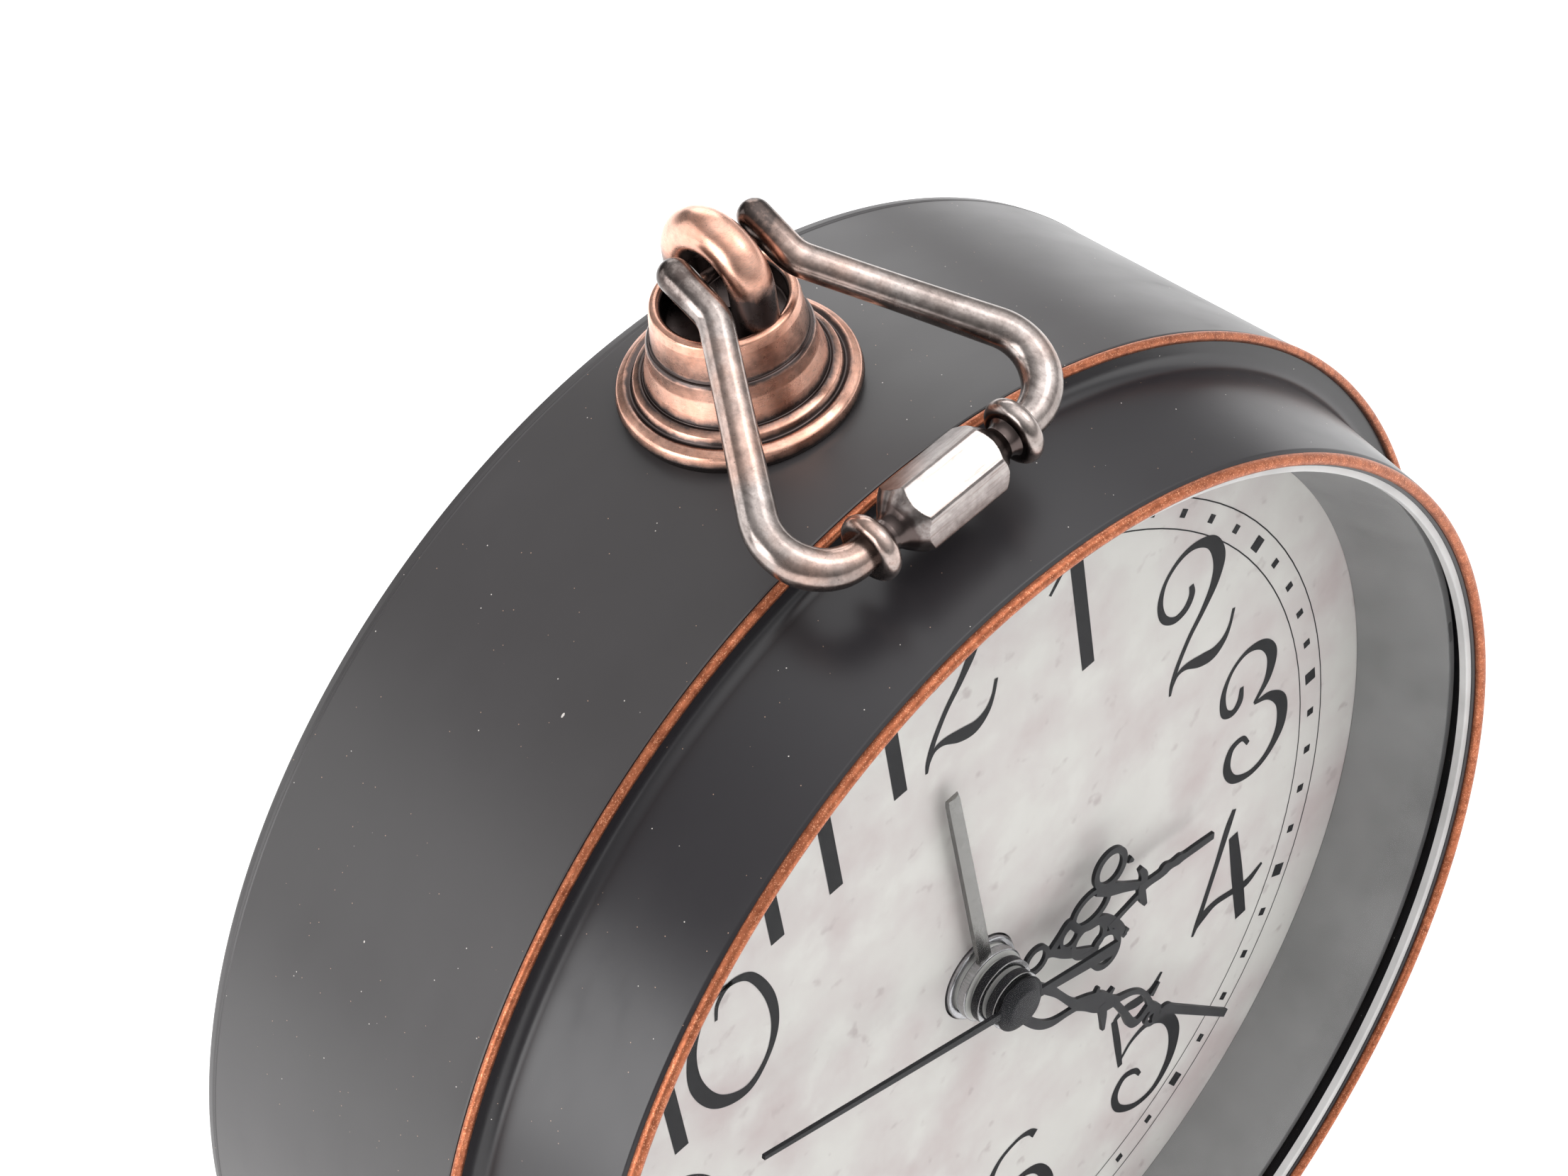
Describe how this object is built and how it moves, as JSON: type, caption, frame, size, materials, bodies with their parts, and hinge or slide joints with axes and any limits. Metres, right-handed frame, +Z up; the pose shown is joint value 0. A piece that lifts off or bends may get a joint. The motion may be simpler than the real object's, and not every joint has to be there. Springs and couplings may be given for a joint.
{
  "type": "alarm clock",
  "caption": "Drum alarm clock with a stepped bezel, numbered dial, four hands, quartz movement, rear setting knobs and a bail handle.",
  "frame": {"origin": "bottom centre of the clock standing upright: on the surface it stands on, at the middle of its width and depth", "axes": "+Z up; the dial faces -Y; +X to the right of somebody who looks at the dial"},
  "size_m": [0.1152, 0.047, 0.1379],
  "materials": {
    "case_paint": "satin",
    "bezel_paint": "satin",
    "copper_paint": "metallic satin",
    "lens_glass": "clear",
    "gasket_grey": "matte",
    "surround_grey": "satin",
    "dial_card": "matte, mottled, printed with numerals and a minute track",
    "silver_paint": "satin",
    "hand_black": "black satin paint",
    "white_plastic": "moulded",
    "black_plastic": "moulded",
    "cover_plastic": "fine texture",
    "knob_plastic": "satin",
    "coil_copper": "enamelled wire",
    "board_green": "solder mask",
    "bright_steel": "bright",
    "dark_steel": "blackened",
    "cell_jacket": null,
    "antique_copper": "antique copper plate with dark patina",
    "antique_pewter": "antique bronze-grey plate",
    "rubber": "matte"
  },
  "bodies": {
    "case": {"battery": "cell_jacket", "battery_contact": "bright_steel", "battery_spring": "bright_steel", "battery_tray": "black_plastic", "buzzer": "black_plastic", "case_shell": "case_paint", "center_washer": "bright_steel", "circuit_board": "board_green", "coil": "coil_copper", "dial": "dial_card", "dial_carrier": "black_plastic", "dial_surround": "surround_grey", "foot_front_left": "antique_copper", "foot_front_right": "antique_copper", "foot_pad_front_left": "rubber", "foot_pad_front_right": "rubber", "foot_pad_rear_left": "rubber", "foot_pad_rear_right": "rubber", "foot_rear_left": "antique_copper", "foot_rear_right": "antique_copper", "foot_screws": "bright_steel", "front_bezel": "bezel_paint", "handle_base": "antique_copper", "handle_eye": "antique_copper", "handle_nut": "bright_steel", "handle_washer": "bright_steel", "inner_ring": "copper_paint", "lens": "lens_glass", "lens_gasket": "gasket_grey", "movement_front_plate": "black_plastic", "movement_housing": "black_plastic", "movement_mid_plate": "black_plastic", "movement_screws": "bright_steel", "outer_ring": "copper_paint", "quartz_crystal": "bright_steel", "rear_cover": "cover_plastic", "rear_cover_screws": "dark_steel", "stator": "bright_steel"},
    "minute": {"minute_cannon": "white_plastic", "minute_hand": "hand_black"},
    "hour": {"hour_wheel": "white_plastic", "hour_hand": "hand_black"},
    "time_setting": {"minute_wheel": "white_plastic", "time_knob": "knob_plastic"},
    "alarm": {"alarm_wheel": "white_plastic", "alarm_hand": "silver_paint"},
    "alarm_setting": {"alarm_pinion": "white_plastic", "alarm_knob": "knob_plastic"},
    "second": {"second_wheel": "white_plastic", "second_hand": "hand_black"},
    "third": {"third_wheel": "white_plastic"},
    "rotor": {"rotor": "white_plastic"},
    "switch": {"alarm_switch": "knob_plastic"},
    "door": {"battery_door": "cover_plastic"},
    "bail": {"bail_arm_left": "antique_pewter", "bail_arm_right": "antique_pewter", "bail_barrel": "antique_pewter"}
  },
  "joints": [
    {"name": "minute_spin", "type": "hinge", "parent": "case", "child": "minute", "pos_m": [0, -0.01154, 0.064], "axis": [0, 1, 0], "continuous": true},
    {"name": "hour_spin", "type": "hinge", "parent": "case", "child": "hour", "pos_m": [0, -0.01154, 0.064], "axis": [0, 1, 0], "continuous": true},
    {"name": "time_knob_spin", "type": "hinge", "parent": "case", "child": "time_setting", "pos_m": [-0.0096, 0.00847, 0.064], "axis": [0, 1, 0], "continuous": true},
    {"name": "alarm_spin", "type": "hinge", "parent": "case", "child": "alarm", "pos_m": [0, -0.01154, 0.064], "axis": [0, 1, 0], "continuous": true},
    {"name": "alarm_knob_spin", "type": "hinge", "parent": "case", "child": "alarm_setting", "pos_m": [0.0112, 0.00847, 0.064], "axis": [0, 1, 0], "continuous": true},
    {"name": "third_spin", "type": "hinge", "parent": "case", "child": "third", "pos_m": [0, 0.00146, 0.0724], "axis": [0, 1, 0], "continuous": true},
    {"name": "second_spin", "type": "hinge", "parent": "case", "child": "second", "pos_m": [0, -0.01154, 0.064], "axis": [0, 1, 0], "continuous": true},
    {"name": "rotor_spin", "type": "hinge", "parent": "case", "child": "rotor", "pos_m": [0, 0.00347, 0.0799], "axis": [0, 1, 0], "continuous": true},
    {"name": "alarm_switch_slide", "type": "slide", "parent": "case", "child": "switch", "axis": [0, 0, 1], "range_m": [0, 0.005]},
    {"name": "battery_door_hinge", "type": "hinge", "parent": "case", "child": "door", "pos_m": [0, 0.01422, 0.02525], "axis": [-1, 0, 0], "range_deg": [0, 100]},
    {"name": "bail_pivot", "type": "hinge", "parent": "case", "child": "bail", "pos_m": [0, 0.00377, 0.1336], "axis": [-1, 0, 0], "range_deg": [-5, 215]}
  ],
  "couplings": [
    {"joint": "hour_spin", "follows": "minute_spin", "ratio": 0.083333},
    {"joint": "time_knob_spin", "follows": "minute_spin", "ratio": -0.33333},
    {"joint": "alarm_knob_spin", "follows": "alarm_spin", "ratio": -2.5},
    {"joint": "second_spin", "follows": "third_spin", "ratio": -0.16667},
    {"joint": "rotor_spin", "follows": "third_spin", "ratio": -5}
  ]
}
